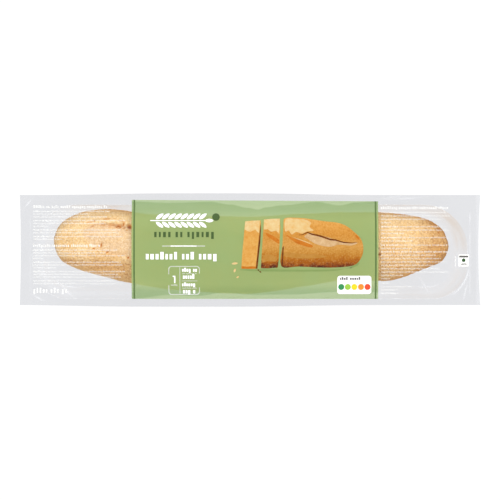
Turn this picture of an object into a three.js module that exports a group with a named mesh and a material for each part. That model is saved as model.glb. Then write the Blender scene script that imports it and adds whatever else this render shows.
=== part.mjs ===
// A baguette sealed in a clear deep-drawn pack, as one closed solid out to the film.
// The formed pocket hangs under a flat sealing rim, and the lid film crowns over the loaf.
// Millimetres, +Z up, +X along the loaf. The origin is the middle of the footprint, on the resting face.

import * as THREE from 'three';
import { mergeVertices } from 'three/addons/utils/BufferGeometryUtils.js';

// Overall pack
const PACK_LENGTH = 442;
const PACK_WIDTH = 108.8;
const PACK_CORNER = 1.2;
const RIM_Z = 46;
const RIM_THICKNESS = 0.8;

// The long cut edges stand out where the belly of the loaf spreads the film
const EDGE_BULGE = 1.6;
const BACK_BULGE_X = -40;
const BACK_BULGE_REACH = 105;
const FRONT_BULGE_X = -58;
const FRONT_BULGE_REACH = 120;

// The short cut edges are slightly hollow
const LEFT_WAIST = 1;
const RIGHT_WAIST = 1.8;

// Pocket, measured at the rim
const POCKET_LENGTH = 418.4;
const POCKET_WIDTH = 91.6;
const POCKET_CENTRE_Y = -1.6;
const POCKET_BACK_CORNER = 44;
const POCKET_FRONT_CORNER = 34;

// Pocket wall: a small bend at the rim, a drafted wall and a rounded foot
const RIM_BEND = 1.5;
const WALL_DRAFT = 2.5;
const FOOT_RADIUS = 10;

// Lid film, taut over the loaf and lower towards its two ends
const CROWN_HEIGHT = 5.8;
const CROWN_REACH = 38;
const CROWN_END_DROP = 0.45;

// Facets
const LONG_SIDE_STEPS = 32;
const SHORT_SIDE_STEPS = 6;
const CORNER_STEPS = 10;
const BEND_STEPS = 3;
const FOOT_STEPS = 6;
const CROWN_STEPS = 9;

const HALF_PI = Math.PI / 2;

// One closed loop round a rectangle with two back and two front corner radii.
// Every loop has the same number of points, so that two loops can be joined point by point.
function roundedLoop(length, width, centreY, backRadius, frontRadius) {
  const halfX = length / 2;
  const halfY = width / 2;
  const corners = [
    { x: 1, y: 1, radius: backRadius, from: 0 },
    { x: -1, y: 1, radius: backRadius, from: HALF_PI },
    { x: -1, y: -1, radius: frontRadius, from: 2 * HALF_PI },
    { x: 1, y: -1, radius: frontRadius, from: 3 * HALF_PI },
  ];
  const arcs = corners.map(({ x, y, radius, from }) => {
    const arc = [];
    for (let step = 0; step <= CORNER_STEPS; step += 1) {
      const angle = from + (HALF_PI * step) / CORNER_STEPS;
      const px = x * (halfX - radius) + radius * Math.cos(angle);
      const py = y * (halfY - radius) + radius * Math.sin(angle);
      arc.push(new THREE.Vector2(px, centreY + py));
    }
    return arc;
  });
  const sideSteps = [LONG_SIDE_STEPS, SHORT_SIDE_STEPS, LONG_SIDE_STEPS, SHORT_SIDE_STEPS];
  const loop = [];
  arcs.forEach((arc, side) => {
    const start = arc[arc.length - 1];
    const end = arcs[(side + 1) % arcs.length][0];
    loop.push(...arc);
    for (let step = 1; step < sideSteps[side]; step += 1) {
      loop.push(start.clone().lerp(end, step / sideSteps[side]));
    }
  });
  return loop;
}

// How far the film has spread at one place along a long edge, from 0 to 1.
function bulge(x, centreX, reach) {
  return Math.exp(-(((x - centreX) / reach) ** 4));
}

// The cut edge of the pack: a rectangle whose long sides swell and whose short sides are hollow.
function packLoop() {
  const halfX = PACK_LENGTH / 2;
  const halfY = PACK_WIDTH / 2;
  return roundedLoop(PACK_LENGTH, PACK_WIDTH, 0, PACK_CORNER, PACK_CORNER).map((point) => {
    const isBack = point.y > 0;
    const centreX = isBack ? BACK_BULGE_X : FRONT_BULGE_X;
    const reach = isBack ? BACK_BULGE_REACH : FRONT_BULGE_REACH;
    const inset = EDGE_BULGE * (1 - bulge(point.x, centreX, reach));
    const waist = point.x > 0 ? RIGHT_WAIST : LEFT_WAIST;
    const hollow = waist * (1 - (point.y / halfY) ** 2);
    const x = point.x - (point.x / halfX) * hollow;
    const y = point.y - (point.y / halfY) * inset;
    return new THREE.Vector2(x, y);
  });
}

// The pocket's loop at the rim, or moved in from it by an offset.
function pocketLoop(offset) {
  return roundedLoop(
    POCKET_LENGTH - 2 * offset,
    POCKET_WIDTH - 2 * offset,
    POCKET_CENTRE_Y,
    Math.max(POCKET_BACK_CORNER - offset, PACK_CORNER),
    Math.max(POCKET_FRONT_CORNER - offset, PACK_CORNER),
  );
}

function atHeight(loop, z) {
  return loop.map((point) => new THREE.Vector3(point.x, point.y, z));
}

// Loops from the resting face up the foot, the wall and the bend to the underside of the rim.
function pocketLoops() {
  const loops = [];
  const footInset = RIM_BEND + WALL_DRAFT;
  for (let step = 0; step <= FOOT_STEPS; step += 1) {
    const angle = (HALF_PI * step) / FOOT_STEPS;
    const offset = footInset + FOOT_RADIUS * (1 - Math.sin(angle));
    loops.push(atHeight(pocketLoop(offset), FOOT_RADIUS * (1 - Math.cos(angle))));
  }
  for (let step = 0; step <= BEND_STEPS; step += 1) {
    const angle = (HALF_PI * step) / BEND_STEPS;
    const offset = RIM_BEND * Math.cos(angle);
    loops.push(atHeight(pocketLoop(offset), RIM_Z - RIM_BEND * (1 - Math.sin(angle))));
  }
  return loops;
}

// Loops of the lid from the seal inward, rising fast at the seal and levelling over the loaf.
function lidLoops() {
  const loops = [];
  const sealZ = RIM_Z + RIM_THICKNESS;
  for (let step = 0; step <= CROWN_STEPS; step += 1) {
    const share = step / CROWN_STEPS;
    const rise = CROWN_HEIGHT * Math.sin(HALF_PI * share);
    const loop = atHeight(pocketLoop(CROWN_REACH * share), sealZ);
    loop.forEach((point) => {
      const along = Math.abs((2 * point.x) / POCKET_LENGTH);
      point.z += rise * (1 - CROWN_END_DROP * along ** 4);
    });
    loops.push(loop);
  }
  return loops;
}

// Closes a loop with slices across it, from the middle of its +X end to the middle of its -X end.
function capFaces(firstIndex, count) {
  const faces = [];
  const endMiddle = count - SHORT_SIDE_STEPS / 2;
  const slices = count / 2;
  for (let slice = 0; slice < slices; slice += 1) {
    const back = firstIndex + ((endMiddle + slice) % count);
    const front = firstIndex + ((endMiddle - slice + count) % count);
    const nextBack = firstIndex + ((endMiddle + slice + 1) % count);
    const nextFront = firstIndex + ((endMiddle - slice - 1 + count) % count);
    if (front !== back) faces.push([front, back, nextBack]);
    if (nextFront !== nextBack) faces.push([front, nextBack, nextFront]);
  }
  return faces;
}

// Joins loops of equal point count into a skin and closes both ends.
function loftedSolid(loops) {
  const count = loops[0].length;
  const lastRing = (loops.length - 1) * count;
  const positions = loops.flatMap((loop) => loop.flatMap((point) => point.toArray()));
  const faces = [];
  for (let ring = 0; ring < lastRing; ring += count) {
    for (let step = 0; step < count; step += 1) {
      const next = (step + 1) % count;
      faces.push(ring + step, ring + next, ring + count + next);
      faces.push(ring + step, ring + count + next, ring + count + step);
    }
  }
  capFaces(0, count).forEach(([a, b, c]) => faces.push(a, c, b));
  capFaces(lastRing, count).forEach(([a, b, c]) => faces.push(a, b, c));
  const geometry = new THREE.BufferGeometry();
  geometry.setAttribute('position', new THREE.Float32BufferAttribute(positions, 3));
  geometry.setIndex(faces);
  const merged = mergeVertices(geometry);
  merged.computeVertexNormals();
  return merged;
}

function buildPack() {
  const edge = packLoop();
  const skin = [
    ...pocketLoops(),
    atHeight(edge, RIM_Z),
    atHeight(edge, RIM_Z + RIM_THICKNESS),
    ...lidLoops(),
  ];
  const film = new THREE.MeshStandardMaterial({ color: 0xe6e8ec, roughness: 0.25, metalness: 0 });
  const pack = new THREE.Mesh(loftedSolid(skin), film);
  pack.name = 'sealed_pack';
  return pack;
}

const baguettePack = new THREE.Group();
baguettePack.add(buildPack());

export default baguettePack;
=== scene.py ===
import math
import random

import bmesh
import bpy
from bpy.props import FloatProperty, FloatVectorProperty, PointerProperty
from bpy.types import Operator, Panel, PropertyGroup
from mathutils import Matrix, Vector, noise


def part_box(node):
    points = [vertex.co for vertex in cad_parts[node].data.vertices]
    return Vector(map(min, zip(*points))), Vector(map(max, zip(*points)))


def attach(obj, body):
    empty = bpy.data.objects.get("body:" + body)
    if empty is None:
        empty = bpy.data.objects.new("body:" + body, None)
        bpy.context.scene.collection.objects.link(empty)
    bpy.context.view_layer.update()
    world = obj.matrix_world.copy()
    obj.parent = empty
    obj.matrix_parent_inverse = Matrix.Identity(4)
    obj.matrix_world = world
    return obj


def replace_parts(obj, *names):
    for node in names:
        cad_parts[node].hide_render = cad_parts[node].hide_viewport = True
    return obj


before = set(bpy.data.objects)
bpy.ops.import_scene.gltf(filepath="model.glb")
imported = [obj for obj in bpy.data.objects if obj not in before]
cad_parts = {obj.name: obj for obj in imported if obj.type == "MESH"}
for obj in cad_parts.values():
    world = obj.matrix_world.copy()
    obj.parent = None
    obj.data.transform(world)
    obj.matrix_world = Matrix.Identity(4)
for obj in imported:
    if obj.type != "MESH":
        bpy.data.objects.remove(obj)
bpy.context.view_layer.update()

bl_info = {
    "name": "Baguette in a clear pack",
    "version": (1, 0, 0),
    "blender": (4, 5, 0),
    "location": "3D View > Sidebar > Bakery",
    "description": "Models a part-baked baguette sealed in a clear pack with a printed lid",
    "category": "Add Mesh",
}

MM = 0.001
PACK_NODE = "sealed_pack"
BODY = "root"
PACK_LOW, PACK_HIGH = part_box(PACK_NODE)
HALF_LENGTH = min(PACK_HIGH.x, -PACK_LOW.x)
HALF_WIDTH = min(PACK_HIGH.y, -PACK_LOW.y)
HALF_PI = math.pi / 2

# The long cut edges swell where the belly of the loaf spreads the film, about a middle and over a reach,
# and the short ones are hollow
EDGE_BULGE = 1.6 * MM
BACK_BULGE = (-40 * MM, 105 * MM)
FRONT_BULGE = (-58 * MM, 120 * MM)
LEFT_WAIST = 1.0 * MM
RIGHT_WAIST = 1.8 * MM

# Creases in the lid film: middle x and y, direction in degrees, half length, half width, height
FILM_CREASES = (
    (-212.6, 44.8, 48, 5.0, 0.7, 0.27),
    (-176.0, -38.5, -46, 11.0, 0.8, 0.30),
    (-168.0, -41.0, -40, 9.0, 0.7, -0.25),
    (-203.0, -46.0, -28, 7.0, 0.8, 0.25),
    (167.5, -34.5, -57, 12.0, 1.0, 0.14),
    (172.0, -36.0, -57, 10.0, 0.9, -0.25),
    (150.0, 49.5, 4, 16.0, 0.8, 0.20),
    (136.0, 50.5, 8, 12.0, 0.7, 0.20),
    (206.5, -40.0, 76, 9.0, 0.8, 0.25),
)

# Painted highlight lines on the lid at the end seals: how far out they lie and how wide they are, and where
# the paler right trim starts
SEAL_DISTANCE = 210.9 * MM
SEAL_WIDTH = 0.55 * MM
TRIM_START = 216.6 * MM
TRIM_FULL = 217.6 * MM

# Edges of the loaf seen from above, at even steps of angle from its left tip to its right tip
BACK_EDGE = (8.2, 25.2, 36.4, 39.5, 34.8, 33.4, 32.3, 35.0, 36.6, 36.1, 31.3, 20.7, 3.9)
FRONT_EDGE = (8.2, -9.6, -19.4, -28.0, -36.1, -40.5, -42.4, -35.6, -28.6, -29.8, -18.9, -10.9, 3.9)

# Roundness of the loaf's section over and under its widest line, 2 for a circle and more for a box
TOP_ROUNDNESS = 2.25
BASE_ROUNDNESS = 3.4

# Scores in the crust: middle x and y, direction in degrees, half length, half width
SCORES = (
    (-106.0, 5.6, -12.0, 57.0, 15.5),
    (-14.5, 0.5, -10.0, 56.0, 15.0),
    (74.0, 3.0, -8.0, 53.0, 14.5),
)

# Open pores and tears in the crust: x, y, direction in degrees, half length, half width, depth
PORES = (
    (-138.4, 29.9, 4, 4.4, 0.9, 1.0),
    (-130.6, 30.2, 2, 2.0, 0.5, 0.6),
    (-150.2, 28.3, -14, 1.2, 0.8, 1.1),
    (-155.2, 26.9, 6, 3.4, 0.8, 0.8),
    (-123.5, 27.2, -10, 3.8, 0.8, 0.8),
    (-133.2, 25.0, -6, 4.2, 0.8, 0.8),
    (-121.6, 24.9, 62, 1.9, 0.8, 1.4),
    (-126.4, 23.6, -10, 2.6, 1.2, 1.2),
    (-115.4, 22.9, -14, 2.9, 1.8, 3.2),
    (-143.2, 4.8, 74, 2.7, 0.8, 1.3),
    (-150.5, 1.3, 0, 1.3, 1.0, 1.4),
    (-146.9, -0.9, 70, 1.6, 0.6, 0.6),
    (-137.6, -2.5, 22, 1.9, 0.8, 1.1),
    (-117.2, -7.6, 60, 1.2, 1.0, 1.5),
    (-172.6, 32.0, 60, 1.2, 0.7, 0.8),
    (-124.5, 1.6, 60, 0.8, 0.6, 0.6),
    (-170.5, 25.6, 34, 4.2, 0.6, 0.4),
    (124.2, -4.4, 28, 2.0, 1.2, 2.4),
    (183.2, 20.8, -50, 1.6, 0.9, 1.3),
    (183.0, 17.4, 70, 1.2, 0.9, 1.2),
    (178.0, 24.6, -40, 2.6, 0.7, 0.7),
    (161.0, 33.6, -16, 2.2, 0.6, 0.7),
)

# Patches of thin torn crust: x, y, direction in degrees, half length, half width, strength
TEARS = (
    (-125.4, 22.8, -10, 5.2, 2.3, 1.0),
    (-119.4, 20.2, -48, 4.6, 0.9, 0.9),
    (-115.8, 16.6, -40, 3.2, 0.7, 0.6),
    (-134.0, 24.8, -8, 4.6, 1.4, 0.55),
    (-158.3, 7.3, -35, 3.8, 1.2, 0.42),
    (-163.7, 14.8, -8, 2.6, 0.8, 0.35),
    (-158.5, 11.4, 0, 1.6, 0.6, 0.45),
    (-143.8, 6.0, 60, 5.0, 1.6, 0.30),
    (-119.0, -2.8, 62, 4.6, 1.0, 0.40),
    (-130.5, -1.6, 20, 4.0, 1.0, 0.35),
)

# Reach of one pore or tear, depth in millimetres at which a pore takes its full painted shade, and depth of a
# tear
SPOT_REACH = 16 * MM
PORE_SHADE_DEPTH = 1.3
TEAR_DEPTH = 1.2

# Lumps, wrinkles and grain of the crust: height, reach along the loaf, reach across and upwards
CRUST_WAVES = (
    (0.55, 26.0, 26.0),
    (0.30, 11.0, 5.0),
    (0.22, 2.6, 2.6),
    (0.15, 1.4, 1.4),
)

# Heights of the films: underside over the shelf, then sealing rim and lid over the rim height
SHELF_GAP = 0.05 * MM
RIM_GAP = 0.20 * MM
LID_GAP = 0.55 * MM

# Heights of the printed layers over the lid film
BAND_LIFT = 0.10 * MM
PICTURE_GROUND = 0.14 * MM
PICTURE_STEP = 0.04 * MM
LINE_LIFT = 0.18 * MM
PLATE_LIFT = 0.18 * MM
MARK_LIFT = 0.26 * MM
INK_LIFT = 0.34 * MM

# Green band in millimetres: its ends, its front edge and the thin lines near its ends
BAND_LEFT = -113.4
BAND_RIGHT = 122.9
BAND_FRONT = -46.9
BAND_LINES = (-110.9, 120.4)
BAND_LINE_HALF = 0.8

# Edges of the paler zones of painted sheen near the rim, along the band's back and front: x and y along the
# back and the front
BACK_SHEEN = (
    (-110.4, 46.5), (-75.8, 45.2), (-37.4, 46.2), (-18.2, 43.6), (-1.9, 40.4), (7.7, 38.8), (15.4, 40.9),
    (30.7, 42.9), (64.3, 46.2), (85.4, 42.9), (102.7, 45.7), (119.0, 46.5),
)
FRONT_SHEEN = (
    (-110.4, -46.6), (-76.8, -43.0), (-51.8, -44.2), (-24.5, -41.1), (3.8, -43.0), (39.4, -42.7),
    (83.5, -40.3), (119.0, -40.5),
)

# Strokes of small print in millimetres: height and width in headings and strong rows, width in thin rows
HEADING_STROKE = (2.0, 1.05)
STRONG_STROKE = (1.15, 0.66)
THIN_STROKE = 0.46
STRONG_START = 17.0

# Columns of small print in millimetres: left end, first row, steps after a line, before a start, after a
# heading and at a gap, and the rows with their lengths
SMALL_PRINT = (
    (
        -207.7,
        41.2,
        (2.66, 0.96, 3.19, 3.54),
        (
            ("heading", 72.0), ("start", 73.0), ("line", 54.0), ("line", 71.0), ("start", 89.0),
            ("line", 70.0), ("line", 14.0), ("start", 84.0), ("line", 82.0), ("start", 86.0),
            ("line", 28.0), ("gap", 0.0), ("heading", 64.0), ("start", 82.0), ("line", 70.0),
            ("line", 88.0), ("line", 10.0), ("start", 84.0), ("line", 86.0), ("line", 22.0),
            ("start", 88.0), ("line", 82.0), ("line", 84.0), ("start", 78.0), ("line", 84.0),
        ),
    ),
    (
        125.5,
        40.2,
        (3.22, 0.75, 4.32, 1.15),
        (
            ("heading", 65.0), ("line", 63.0), ("line", 66.5), ("line", 58.0), ("line", 10.0),
            ("start", 60.0), ("line", 65.5), ("line", 21.5), ("start", 64.5), ("line", 30.0),
            ("start", 64.0), ("line", 30.0), ("strong", 65.0), ("line", 53.0), ("line", 57.0),
            ("line", 63.5), ("line", 49.5), ("line", 57.0), ("line", 65.5), ("line", 21.5),
            ("line", 9.0), ("gap", 0.0), ("line", 7.0), ("line", 30.5), ("line", 16.5),
            ("strong", 16.5),
        ),
    ),
)

# Fields of the printed bread: ink, layer, curve steps between points or 0 for straight sides, outline
PICTURE_FIELDS = (
    ("shadow", 0, 5, (
        (-9, -18.6), (28, -18.6), (60, -18.9), (96, -17.5), (104, -12), (84, -19.6), (40, -20.6), (4, -20.2),
    )),
    ("light", 1, 0, (
        (-4.6, 27.4), (2.0, 28.1), (10.1, 28.4), (10.5, 24.0), (9.8, 8.0), (8.2, -8.0), (7.1, -17.9),
        (-1.0, -18.1), (-8.3, -17.9), (-7.6, -6.0), (-6.2, 10.0),
    )),
    ("golden", 1, 0, (
        (13.4, 29.2), (20.0, 29.8), (28.6, 30.1), (29.0, 22.0), (28.3, 6.0), (27.4, -10.0), (26.6, -16.6),
        (18.0, -17.6), (10.4, -17.4), (11.2, -4.0), (12.2, 12.0),
    )),
    ("golden", 1, 4, (
        (33.3, 30.2), (45.0, 30.8), (56.6, 29.8), (72.3, 27.4), (83.4, 26.2), (92.0, 23.1), (99.7, 17.2),
        (105.7, 11.1), (108.3, 3.5), (107.4, -5.1), (102.2, -12.9), (93.7, -15.8), (72.3, -16.9),
        (46.6, -15.8), (29.9, -15.4), (31.1, 6.0), (32.0, 23.0),
    )),
    ("pale", 2, 0, (
        (-4.6, 27.4), (2.0, 28.1), (9.4, 28.3), (8.6, 16.0), (5.0, 19.6), (0.0, 17.2), (-5.2, 19.6),
    )),
    ("pale", 2, 0, (
        (13.4, 29.2), (20.0, 29.8), (28.5, 30.1), (28.0, 15.4), (25.0, 18.4), (20.0, 17.6), (17.0, 20.0),
        (13.2, 19.6),
    )),
    ("pale", 2, 3, (
        (33.8, 29.4), (42.0, 30.0), (52.0, 29.2), (58.4, 26.4), (57.0, 22.0), (60.8, 18.6), (54.6, 17.8),
        (50.0, 15.6), (44.0, 17.4), (40.0, 14.8), (37.0, 18.8), (33.6, 18.0),
    )),
    ("tan", 2, 3, ((34, -2), (46, -3.6), (62, -4.0), (74, -6.4), (60, -8.0), (44, -7.8), (33, -5.6))),
    ("tan", 2, 3, ((13, -5), (20, -4.4), (25.6, -7), (24.6, -11), (17, -10.4), (11.8, -12))),
    ("shade", 2, 5, ((14.6, 16.4), (19, 15.0), (27, 10.4), (27.6, 6), (22, 9.4), (17, 13.0))),
    ("deep", 3, 0, (
        (10.3, 26.0), (10.5, 22.0), (9.9, 8.0), (8.2, -8.0), (7.1, -17.9), (5.4, -17.9), (7.0, -4.0),
        (8.6, 12.0),
    )),
    ("shade", 2, 0, ((-8.2, -15.4), (-3.0, -15.9), (2.0, -15.6), (6.2, -16.0), (7.1, -17.9), (-8.3, -17.9))),
    ("deep", 3, 0, ((31.0, 2.0), (32.4, 4.0), (31.8, -8.0), (31.4, -15.3), (29.9, -15.4), (30.4, -6.0))),
    ("deep", 3, 0, ((26.0, -12.0), (27.3, -10.6), (26.6, -16.6), (24.8, -17.2))),
    ("crumb", 3, 3, (
        (52, 13.0), (57, 16.2), (64, 14.8), (73, 12.6), (83, 9.4), (94, 7.0), (103, 6.9), (97, 4.2),
        (86, 5.2), (78, 3.2), (71, 3.6), (64, 5.4), (59, 8.0), (55.4, 10.4),
    )),
    ("shade", 3, 3, (
        (34.6, 14.8), (41.4, 11.2), (51.7, 8.2), (59.4, 5.0), (58.6, 2.4), (48.3, 5.0), (41.4, 8.4),
    )),
)

# Thin pointed fields of the printed bread: ink, layer, depth below the line, line
PICTURE_BLADES = (
    ("deep", 4, 1.7, (
        (45.8, 14.2), (50.0, 15.0), (55.1, 17.4), (59.4, 15.7), (64.0, 15.0), (68.8, 13.7), (76.6, 10.9),
        (81.7, 10.3), (89.4, 7.8), (98.0, 7.0), (103.0, 7.7),
    )),
    ("pale", 4, 0.9, ((41.0, 12.2), (48.0, 10.2), (55.0, 7.6), (60.4, 4.6))),
)

# Small oval fields of the printed bread and its crumbs: ink, layer, x, y, direction, half length, half width
PICTURE_OVALS = (
    ("shade", 3, 102.6, 12.2, -52, 3.0, 1.0),
    ("pale", 1, -14.6, -12.9, 6, 3.0, 1.1),
    ("pale", 1, -14.6, -19.6, 70, 1.8, 1.0),
    ("pale", 1, -11.8, -26.0, 30, 1.4, 0.8),
    ("deep", 1, 8.0, -19.2, -40, 0.9, 0.6),
    ("deep", 1, 9.8, -20.9, -30, 1.2, 0.6),
)

# Tones of the printed crust from its foot to its top: place from 0 to 1, display colour
BAKED_TONES = (
    (0.0, (88, 52, 22)),
    (0.05, (124, 68, 24)),
    (0.10, (170, 100, 42)),
    (0.17, (188, 116, 50)),
    (0.25, (204, 138, 66)),
    (0.34, (216, 156, 80)),
    (0.45, (230, 171, 95)),
    (0.65, (226, 158, 78)),
    (0.85, (240, 174, 92)),
    (1.0, (242, 184, 106)),
)

# Round colour marks on the larger plate
MARK_TONES = ((58, 140, 84), (150, 190, 70), (250, 206, 40), (238, 140, 50), (222, 78, 48))

# Softboxes: name, place in metres, two sizes in metres and the stage value that holds the power
SOFTBOXES = (
    ("back_softbox", (0, 1.75, 1.65), 2.4, 1.3, "key_power"),
    ("front_softbox", (0, -1.75, 1.65), 2.4, 1.1, "fill_power"),
    ("left_softbox", (-1.85, 0, 1.55), 0.8, 1.6, "side_power"),
    ("right_softbox", (1.85, 0, 1.55), 0.8, 1.6, "side_power"),
)

# Sockets of a colour mix node
MIX_FIRST = 6
MIX_SECOND = 7
MIX_RESULT = 2

WHITE = (1.0, 1.0, 1.0, 1.0)

# What the film's shine adds to an ink, how strongly the stage lights it, and the least that shows of it
FILM_SHINE = 0.035
STAGE_LIGHT = 1.48
LEAST_SHOWN = 0.003


def srgb(red, green, blue):
    """Linear colour from display values of 0 to 255."""

    def linear(value):
        share = value / 255
        return share / 12.92 if share <= 0.04045 else ((share + 0.055) / 1.055) ** 2.4

    return linear(red), linear(green), linear(blue)


def print_tone(*display):
    """Ink colour that shows as the given display values under the stage's light and the film's shine."""
    return tuple(max(channel - FILM_SHINE, LEAST_SHOWN) / STAGE_LIGHT for channel in srgb(*display))


def length(name, description, millimetres):
    """A size that the user can change."""
    return FloatProperty(name=name, description=description, default=millimetres * MM, unit="LENGTH")


def wattage(name, description, watts):
    """A lamp's power that the user can change."""
    return FloatProperty(name=name, description=description, default=watts, min=0.0, unit="POWER")


def colour(name, description, *display):
    """A colour that the user can change."""
    return FloatVectorProperty(
        name=name,
        description=description,
        subtype="COLOR",
        size=3,
        min=0.0,
        max=1.0,
        default=srgb(*display),
    )


class PackSizes(PropertyGroup):
    pocket_length: length("Pocket length", "Length of the pocket at its rim", 418.4)
    pocket_width: length("Pocket width", "Width of the pocket at its rim", 91.6)
    pocket_shift: length("Pocket shift", "How far the pocket's middle lies off the pack's", -1.6)
    back_corner: length("Back corner", "Radius of the pocket's two back corners", 44.0)
    front_corner: length("Front corner", "Radius of the pocket's two front corners", 34.0)
    rim_height: length("Rim height", "Height of the sealing rim over the shelf", 46.0)
    rim_bend: length("Rim bend", "Radius between the rim and the pocket wall", 1.5)
    wall_draft: length("Wall draft", "How far the wall leans in from rim to foot", 2.5)
    foot_radius: length("Foot radius", "Radius between the wall and the flat underside", 10.0)
    crown_height: length("Crown height", "How far the lid film rises over the loaf", 5.2)
    crown_reach: length("Crown reach", "Distance from the rim to the lid's level middle", 38.0)
    crown_end_drop: FloatProperty(
        name="Crown end drop",
        description="Share of the crown that is lost towards the two ends",
        default=0.45,
        min=0.0,
        max=1.0,
        subtype="FACTOR",
    )


class LoafSizes(PropertyGroup):
    left_tip: length("Left tip", "Where the loaf starts along the pack", -191.0)
    right_tip: length("Right tip", "Where the loaf ends along the pack", 193.3)
    height: length("Height", "Height of the loaf at its middle", 50.0)
    tip_height: length("Tip height", "Height of the two tips over the shelf", 21.0)
    widest_height: length("Widest height", "Height at which the loaf is widest", 24.0)
    base: length("Base", "Height of the loaf's flat underside over the shelf", 0.8)


class BakeryColours(PropertyGroup):
    crust_pale: colour("Pale crust", "Top of the crust", 239, 205, 146)
    crust_golden: colour("Golden crust", "Warmer patches of the crust", 229, 186, 118)
    # Brown of the crust, also used for painted shade on its flanks, rims and front side
    crust_brown_and_shade: colour("Brown crust", "Flanks and rims of the crust", 199, 140, 52)
    crumb: colour("Crumb", "Torn inside of the scores", 227, 193, 148)
    grain: colour("Grain", "Fine dark grain of the crust", 180, 123, 58)
    # Orange-brown of thin crust in the pores, deepened with painted shade
    pore_and_shade: colour("Pore", "Sides of the open pores", 208, 140, 50)
    # Painted shade at the bottom of the deepest pores
    pore_shade: colour("Deep pore", "Bottom of the deepest pores", 178, 96, 22)
    flour: colour("Flour", "Dusting on the crust", 250, 230, 192)
    lid_film: colour("Lid film", "What the clear lid film lets through", 251, 251, 252)
    pocket_film: colour("Pocket film", "What the thicker formed film lets through", 229, 230, 232)
    drawn_film: colour("Drawn film", "What the formed film lets through at the underside", 236, 237, 239)
    # Painted reflection of the loaf, mixed into what the formed film lets through near its rim
    loaf_reflection_tint: colour("Warm film", "What it lets through where it mirrors the loaf", 226, 214, 202)
    band_ink: colour("Band ink", "Translucent band across the lid", 144, 163, 101)
    line_ink: colour("Line ink", "Thin lines at the band's two ends", 88, 112, 64)
    dark_ink: colour("Dark ink", "Second line of the print", 69, 90, 50)
    white_ink: colour("White ink", "Pale print on the band", 252, 252, 250)
    soft_ink: colour("Soft ink", "Small pale print on the clear film", 236, 236, 233)


class StageLook(PropertyGroup):
    camera_height: length("Camera height", "Height of the camera over the lid", 1600.0)
    view_width: length("View width", "Width that the camera sees at the lid", 478.7)
    key_power: wattage("Key power", "Power of the back softbox", 49.0)
    fill_power: wattage("Fill power", "Power of the front softbox", 31.0)
    side_power: wattage("Side power", "Power of each side softbox", 12.0)
    sky: FloatProperty(name="Sky", description="Brightness of the room round the pack", default=0.43, min=0.0)


def pack_sizes():
    return bpy.context.scene.pack_sizes


def loaf_sizes():
    return bpy.context.scene.loaf_sizes


def colours():
    return bpy.context.scene.bakery_colours


def stage_look():
    return bpy.context.scene.stage_look


# Small helpers for shapes


def smooth_step(low, high, value):
    """Rises smoothly from 0 at low to 1 at high."""
    share = min(max((value - low) / (high - low), 0.0), 1.0)
    return share * share * (3 - 2 * share)


def hill(distance, width):
    """1 at no distance, falling to nothing a few widths away."""
    return math.exp(-((distance / width) ** 2))


def ripple(x, y, reach_x, reach_y, layer):
    """Smooth random wave of about -1 to 1, with reaches in millimetres and a layer of its own."""
    return noise.noise((x / (reach_x * MM), y / (reach_y * MM), layer))


def along_and_across(x, y, middle_x, middle_y, degrees):
    """Place of a point measured along and across a line through the middle."""
    turn = math.radians(degrees)
    dx = x - middle_x
    dy = y - middle_y
    along = dx * math.cos(turn) + dy * math.sin(turn)
    across = dy * math.cos(turn) - dx * math.sin(turn)
    return along, across


def blend_values(values, place):
    """Catmull-Rom curve through evenly spaced values, read at a place from 0 to their last index."""
    last = len(values) - 1
    index = min(int(place), last - 1)
    share = place - index
    before = values[max(index - 1, 0)]
    start = values[index]
    end = values[index + 1]
    after = values[min(index + 2, last)]
    leave = (end - before) / 2
    arrive = (after - start) / 2
    cube = 2 * (start - end) + leave + arrive
    square = 3 * (end - start) - 2 * leave - arrive
    return ((cube * share + square) * share + leave) * share + start


def finish_piece(name, bm, materials):
    """Turns a bmesh into a smooth object that rides on the pack."""
    mesh = bpy.data.meshes.new(name)
    bm.to_mesh(mesh)
    bm.free()
    mesh.polygons.foreach_set("use_smooth", [True] * len(mesh.polygons))
    for material in materials:
        mesh.materials.append(material)
    piece = bpy.data.objects.new(name, mesh)
    bpy.context.scene.collection.objects.link(piece)
    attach(piece, BODY)
    return piece


# Shape of the film


def bulge(x, centre, reach):
    """How far the film has spread at one place along a long edge, from 0 to 1."""
    return math.exp(-(((x - centre) / reach) ** 4))


def pack_point(across_x, across_y):
    """Point of the pack's flat outline, from places of -1 to 1 along and across it."""
    x = across_x * HALF_LENGTH
    y = across_y * HALF_WIDTH
    swell = bulge(x, *(BACK_BULGE if across_y > 0 else FRONT_BULGE))
    waist = RIGHT_WAIST if across_x > 0 else LEFT_WAIST
    x -= across_x * waist * (1 - across_y**2)
    y -= across_y * EDGE_BULGE * (1 - swell)
    return x, y


def rim_inset(x, y):
    """Distance inward from the pocket's rim, negative on the sealing rim outside it."""
    sizes = pack_sizes()
    y = y - sizes.pocket_shift
    radius = sizes.back_corner if y > 0 else sizes.front_corner
    over_x = abs(x) - (sizes.pocket_length / 2 - radius)
    over_y = abs(y) - (sizes.pocket_width / 2 - radius)
    outside = math.hypot(max(over_x, 0.0), max(over_y, 0.0))
    return radius - outside - min(max(over_x, over_y), 0.0)


def film_slack(x, y):
    """Small folds and ripples of the lid film at one place."""
    height = 0.10 * MM * ripple(x, y, 30, 16, 4.0)
    for middle_x, middle_y, degrees, half_length, half_width, rise in FILM_CREASES:
        along, across = along_and_across(x, y, middle_x * MM, middle_y * MM, degrees)
        if abs(along) < 3 * half_length * MM and abs(across) < 4 * half_width * MM:
            height += rise * MM * hill(along, half_length * MM) * hill(across, half_width * MM)
    return height


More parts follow.
